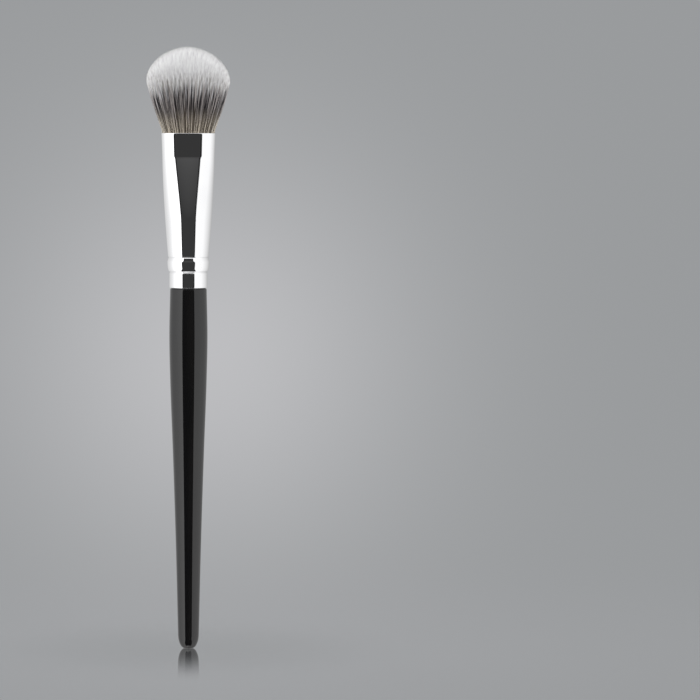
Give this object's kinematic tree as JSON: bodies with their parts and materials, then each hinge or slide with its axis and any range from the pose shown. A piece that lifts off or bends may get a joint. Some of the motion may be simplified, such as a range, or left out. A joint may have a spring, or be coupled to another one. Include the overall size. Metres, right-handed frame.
{
  "type": "slanted blush brush",
  "caption": "Slanted make-up brush for blush: a splayed, pale-tipped tuft in a chromed ferrule pressed oval at its mouth, on a slim black lacquered handle.",
  "frame": {"origin": "centre of the small flat at the tip of the handle, on the handle's turning axis", "axes": "+Z along the brush from the handle's tip to the tuft; X along the broad side of the oval mouth; -Y is the side of the tuft's short strands, which is the front"},
  "size_m": [0.0271, 0.0233, 0.191],
  "materials": {
    "black_lacquer": "gloss black lacquer over turned wood",
    "chrome": "bright chrome plate",
    "bristle_hair": "soft hair, tan at the root, dark in the middle and near white at the tip",
    "binding_thread": "matt thread",
    "amber_resin": "cast resin",
    "clear_glue": "set glue"
  },
  "bodies": {
    "root": {"handle": "black_lacquer", "ferrule": "chrome", "bristles": "bristle_hair", "root_thread": "binding_thread", "root_resin": "amber_resin", "handle_glue": "clear_glue"}
  },
  "joints": []
}
